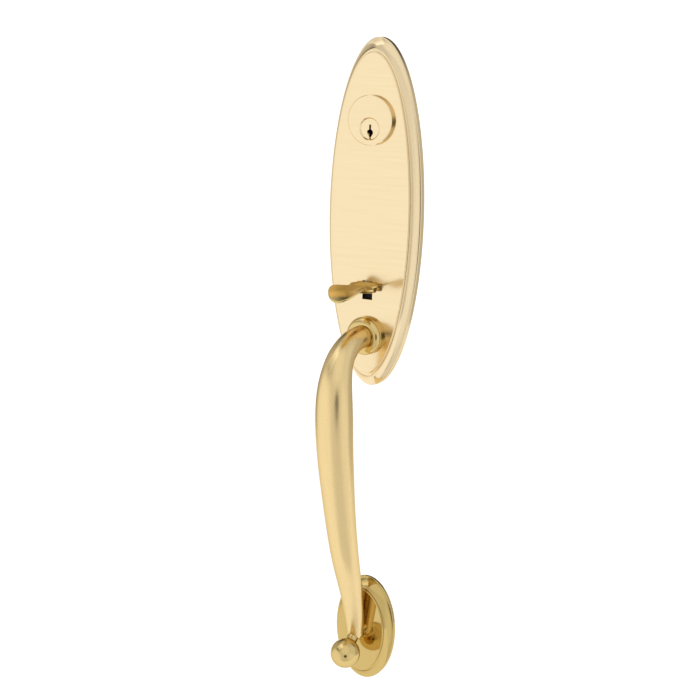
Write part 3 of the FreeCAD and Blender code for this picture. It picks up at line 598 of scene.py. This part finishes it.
def tinted(tree, shader, source, base, dark, light):
    """The base colour times dark where the noise is low, and times light where it is high."""
    ramp = tree.nodes.new("ShaderNodeValToRGB")
    ends = zip(ramp.color_ramp.elements, (NOISE_LOW, NOISE_HIGH), (dark, light))
    for element, position, factor in ends:
        element.position = position
        element.color = (*(min(1.0, value * factor) for value in base), 1)
    tree.links.new(source, ramp.inputs["Fac"])
    tree.links.new(ramp.outputs["Color"], shader.inputs["Base Color"])


def brass(name, base, roughness, stretch, brush, lacquer=0.22):
    """Brass with fine brushing along one axis, a faint unevenness of tone and a coat of lacquer."""
    made, tree, shader = material(name, base, roughness)
    fine = textured(tree, stretch, BRUSHING_SCALE)
    broad_stretch = tuple(max(share, BROADEST_STRETCH) for share in stretch)
    broad = textured(tree, broad_stretch, CLOUDING_SCALE, detail=4.0)
    tinted(tree, shader, broad, base, dark=0.985, light=1.01)
    roughened(tree, shader, fine, low=0.86 * roughness, high=1.14 * roughness)
    bumped(tree, shader, fine, strength=brush)
    shader.inputs["Specular Tint"].default_value = (*LACQUER_TINT, 1)
    shader.inputs["Coat Weight"].default_value = lacquer
    shader.inputs["Coat Roughness"].default_value = 0.12
    shader.inputs["Coat IOR"].default_value = 1.5
    return made


def steel(name, base, roughness, stretch=(1, 1, 1)):
    made, tree, shader = material(name, base, roughness)
    fine = textured(tree, stretch, GRAIN_SCALE)
    tinted(tree, shader, fine, base, dark=0.92, light=1.05)
    roughened(tree, shader, fine, low=0.85 * roughness, high=1.15 * roughness)
    bumped(tree, shader, fine, strength=0.15)
    return made


# Scale of the noise along x, y and z, where a small one draws it out
ACROSS = (0.03, 1.0, 1.0)
ALONG = (1.0, 1.0, 0.03)
ROUND = (1.0, 1.0, 1.0)
ROLLED = (0.1, 1.0, 1.0)
DRAWN = (1.0, 0.1, 1.0)

# PALE_PAINTED_SHEEN is a lighter copy of the one brass. It paints sheen onto the plate, disc and plug.
PALE_PAINTED_SHEEN = (0.88, 0.71, 0.44)
SATIN = (0.83, 0.63, 0.31)
# DEEP_PAINTED_SHADE and OLIVE_PAINTED_SHADE are darker copies of the one brass. They paint shade onto the
# thumb lever, collar, ball and rose.
DEEP_PAINTED_SHADE = (0.70, 0.52, 0.21)
OLIVE_PAINTED_SHADE = (0.62, 0.45, 0.16)
RAW = (0.66, 0.49, 0.24)

BARE = (0.55, 0.55, 0.55)
SPRUNG = (0.5, 0.5, 0.5)
GROUND = (0.6, 0.6, 0.6)
NICKELLED = (0.6, 0.6, 0.58)
ZINC = (0.6, 0.6, 0.57)
OLD_ZINC = (0.55, 0.55, 0.53)
# Painted shade: the bracket behind the thumb slot is black so that the slot reads dark.
SLOT_SHADE_BLACK = (0.02, 0.02, 0.02)
BLUED = (0.05, 0.05, 0.055)
DARK = (0.16, 0.16, 0.17)

MATERIALS = {
    # The plate, disc and plug take the lighter brass as painted sheen. The thumb lever, collar, rose and ball
    # take the darker brass as painted shade.
    "plate_brass": brass("satin brass plate", PALE_PAINTED_SHEEN, 0.16, ACROSS, brush=0.05),
    "housing_brass": brass("satin brass disc", PALE_PAINTED_SHEEN, 0.18, ACROSS, brush=0.09),
    "plug_brass": brass("satin brass plug", PALE_PAINTED_SHEEN, 0.16, ROUND, brush=0.02),
    "thumb_brass": brass("satin brass thumb lever", DEEP_PAINTED_SHADE, 0.17, ALONG, brush=0.02),
    "grip_brass": brass("satin brass grip", SATIN, 0.25, ALONG, brush=0.05),
    "collar_brass": brass("satin brass collar", DEEP_PAINTED_SHADE, 0.1, ROUND, brush=0.015),
    "rose_brass": brass("polished brass rose", OLIVE_PAINTED_SHADE, 0.09, ROUND, brush=0.015),
    "ball_brass": brass("polished brass ball", DEEP_PAINTED_SHADE, 0.09, ROUND, brush=0.015),
    "nut_brass": brass("turned brass nut", RAW, 0.4, ROUND, brush=0.3, lacquer=0.0),
    "pin_brass": brass("turned brass pins", RAW, 0.35, ROUND, brush=0.3, lacquer=0.0),
    "cover_brass": brass("brass strip", RAW, 0.4, ROUND, brush=0.3, lacquer=0.0),
    "cap_brass": brass("turned brass cap", RAW, 0.38, ROUND, brush=0.3, lacquer=0.0),
    "pin_steel": steel("steel pins", BARE, 0.3),
    "spring_steel": steel("spring wire", SPRUNG, 0.3),
    "tailpiece_steel": steel("tailpiece", NICKELLED, 0.35, DRAWN),
    "bracket_steel": steel("bracket painted black as slot shade", SLOT_SHADE_BLACK, 0.5),
    "screw_steel": steel("zinc screws", NICKELLED, 0.35),
    "pivot_steel": steel("ground pin", GROUND, 0.22),
    "lever_steel": steel("zinc lever", ZINC, 0.38),
    "clip_steel": steel("dark clips", DARK, 0.4),
    "cam_steel": steel("zinc cam", OLD_ZINC, 0.42),
    "spindle_steel": steel("square bar", BARE, 0.32, DRAWN),
    "carrier_steel": steel("zinc sheet", ZINC, 0.38, ROLLED),
    "post_steel": steel("turned posts", NICKELLED, 0.33),
    "nut_steel": steel("zinc nuts", ZINC, 0.36),
    "bolt_steel": steel("black bolt", BLUED, 0.42),
    "washer_steel": steel("zinc washer", ZINC, 0.38),
}

SLOT_OF = {row["node"]: row["material_slot"] for row in frame["record"]["subparts"]}


def dress(obj, slot_name):
    obj.data.materials.clear()
    obj.data.materials.append(MATERIALS[slot_name])


for node, obj in frame["nodes"].items():
    smooth(obj, degrees=28)
    dress(obj, SLOT_OF[node])

PIECES = (
    (escutcheon, "frame", "escutcheon_plate"),
    (rose, "frame", "lower_rose"),
    (collar, "frame", "grip_collar"),
    (grip, "frame", "grip"),
    (ball, "frame", "ball_finial"),
    (thumbpiece, "thumb", "thumbpiece"),
)
for make, body, node in PIECES:
    piece = make()
    dress(piece, SLOT_OF[node])
    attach(piece, body)
    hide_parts(node)

# Camera, as fitted to the outlines in the photograph
EYE = Vector((666.911, -1233.063, 158.120)) * MM
AIM = Vector((-22.265, 0.0, -113.979)) * MM
ROLL = math.radians(1.415)
FOCAL_LENGTH = 90.22
SENSOR_WIDTH = 36.0
BACK = (EYE - AIM).normalized()


def set_camera():
    level_right = UPWARD.cross(BACK).normalized()
    level_up = BACK.cross(level_right)
    right = level_right * math.cos(ROLL) + level_up * math.sin(ROLL)
    up = level_up * math.cos(ROLL) - level_right * math.sin(ROLL)
    lens = bpy.data.cameras.new("camera")
    lens.lens = FOCAL_LENGTH
    lens.sensor_width = SENSOR_WIDTH
    lens.clip_start = 0.05
    lens.clip_end = 60.0
    camera = bpy.data.objects.new("camera", lens)
    bpy.context.scene.collection.objects.link(camera)
    pose = Matrix((right, up, BACK)).transposed().to_4x4()
    pose.translation = EYE
    camera.matrix_world = pose
    bpy.context.scene.camera = camera
    bpy.context.scene.view_settings.view_transform = "Standard"


# Floor, in metres: a roll of pale paper that runs under the piece and curves up far behind it
PAPER_FRONT = -0.26
PAPER_LEVEL = -0.62
PAPER_TURN_START = 2.4
PAPER_TURN_RADIUS = 0.6
PAPER_TOP = 0.46
PAPER_HALF_WIDTH = 1.1
PAPER_TONE = 0.84
PAPER_GLOW = 0.5


def paper_material():
    """Diffuse paper that also glows a little, for the camera and in reflections only."""
    made = bpy.data.materials.new("pale floor")
    made.use_nodes = True
    tree = made.node_tree
    tree.nodes.clear()
    path = tree.nodes.new("ShaderNodeLightPath")
    matte = tree.nodes.new("ShaderNodeBsdfDiffuse")
    matte.inputs["Color"].default_value = (PAPER_TONE, PAPER_TONE, PAPER_TONE, 1)
    glow = tree.nodes.new("ShaderNodeEmission")
    seen = path.outputs["Is Camera Ray"]
    for ray in ("Is Glossy Ray", "Is Transmission Ray"):
        either = tree.nodes.new("ShaderNodeMath")
        either.operation = "MAXIMUM"
        tree.links.new(seen, either.inputs[0])
        tree.links.new(path.outputs[ray], either.inputs[1])
        seen = either.outputs[0]
    gain = tree.nodes.new("ShaderNodeMath")
    gain.operation = "MULTIPLY"
    gain.inputs[1].default_value = PAPER_GLOW
    both = tree.nodes.new("ShaderNodeAddShader")
    end = tree.nodes.new("ShaderNodeOutputMaterial")
    tree.links.new(seen, gain.inputs[0])
    tree.links.new(gain.outputs[0], glow.inputs["Strength"])
    tree.links.new(matte.outputs[0], both.inputs[0])
    tree.links.new(glow.outputs[0], both.inputs[1])
    tree.links.new(both.outputs[0], end.inputs["Surface"])
    return made


def paper_floor():
    profile = [(PAPER_FRONT, PAPER_LEVEL), (PAPER_TURN_START, PAPER_LEVEL)]
    steps = 12
    for i in range(1, steps + 1):
        turn = math.pi / 2 * i / steps
        profile.append((PAPER_TURN_START + PAPER_TURN_RADIUS * math.sin(turn),
                        PAPER_LEVEL + PAPER_TURN_RADIUS * (1 - math.cos(turn))))
    profile.append((PAPER_TURN_START + PAPER_TURN_RADIUS, PAPER_TOP))
    ahead = Vector((-BACK.x, -BACK.y, 0)).normalized()
    across = ahead.cross(UPWARD)
    verts = []
    for along, height in profile:
        for side in (-PAPER_HALF_WIDTH, PAPER_HALF_WIDTH):
            verts.append(ahead * along + across * side + UPWARD * height)
    faces = [(2 * i, 2 * i + 1, 2 * i + 3, 2 * i + 2) for i in range(len(profile) - 1)]
    floor = new_object("floor", verts, faces)
    shade_smooth(floor)
    floor.data.materials.append(paper_material())
    return floor


# Studio: soft zones on all sides over a dim base, with a small dark one below the camera.
# Azimuth from straight in front of the door to its right, elevation, inner and outer angle, level
BASE_LEVEL = 0.14
ZONES = (
    (0, 90, 24, 56, 0.72),
    (25, -8, 40, 82, 0.80),
    (-92, 8, 18, 46, 0.60),
    (-50, -20, 28, 54, 1.08),
    (88, -10, 18, 46, 0.98),
    (32, 44, 20, 42, 0.95),
    (104, 28, 16, 42, 0.85),
    (146, -8, 16, 42, 0.62),
    (30, -6, 5, 15, 0.06),
)


def toward(azimuth, elevation):
    turn = math.radians(azimuth)
    rise = math.radians(elevation)
    return Vector((math.sin(turn) * math.cos(rise), -math.cos(turn) * math.cos(rise), math.sin(rise)))


def zone(tree, coords, level, direction, inner, outer, value):
    """Sets the level to value within the inner angle, and fades back to it at the outer one."""
    facing = tree.nodes.new("ShaderNodeVectorMath")
    facing.operation = "DOT_PRODUCT"
    facing.inputs[1].default_value = direction
    tree.links.new(coords.outputs["Generated"], facing.inputs[0])
    mask = tree.nodes.new("ShaderNodeMapRange")
    mask.interpolation_type = "SMOOTHSTEP"
    mask.inputs["From Min"].default_value = math.cos(math.radians(outer))
    mask.inputs["From Max"].default_value = math.cos(math.radians(inner))
    tree.links.new(facing.outputs["Value"], mask.inputs["Value"])
    blend = tree.nodes.new("ShaderNodeMix")
    blend.data_type = "FLOAT"
    tree.links.new(mask.outputs["Result"], blend.inputs["Factor"])
    tree.links.new(level, blend.inputs["A"])
    blend.inputs["B"].default_value = value
    return blend.outputs["Result"]


def studio():
    world = bpy.data.worlds.new("studio")
    bpy.context.scene.world = world
    world.use_nodes = True
    tree = world.node_tree
    tree.nodes.clear()
    coords = tree.nodes.new("ShaderNodeTexCoord")
    base = tree.nodes.new("ShaderNodeValue")
    base.outputs[0].default_value = BASE_LEVEL
    level = base.outputs[0]
    for azimuth, elevation, inner, outer, value in ZONES:
        level = zone(tree, coords, level, toward(azimuth, elevation), inner, outer, value)
    soft = tree.nodes.new("ShaderNodeBackground")
    soft.inputs["Color"].default_value = (1, 1, 1, 1)
    tree.links.new(level, soft.inputs["Strength"])
    end = tree.nodes.new("ShaderNodeOutputWorld")
    tree.links.new(soft.outputs[0], end.inputs["Surface"])


def panel(name, place, target, size, watts):
    """A square lamp, with its place, target and size in metres."""
    data = bpy.data.lights.new(name, "AREA")
    data.shape = "SQUARE"
    data.size = size
    data.energy = watts
    lamp = bpy.data.objects.new(name, data)
    bpy.context.scene.collection.objects.link(lamp)
    lamp.location = place
    lamp.rotation_euler = (place - target).to_track_quat("Z", "Y").to_euler()


set_camera()
floor = paper_floor()
studio()
panel("key", place=Vector((-1.5, -1.3, 2.2)), target=Vector((0, 0, -0.1)), size=2.2, watts=9)
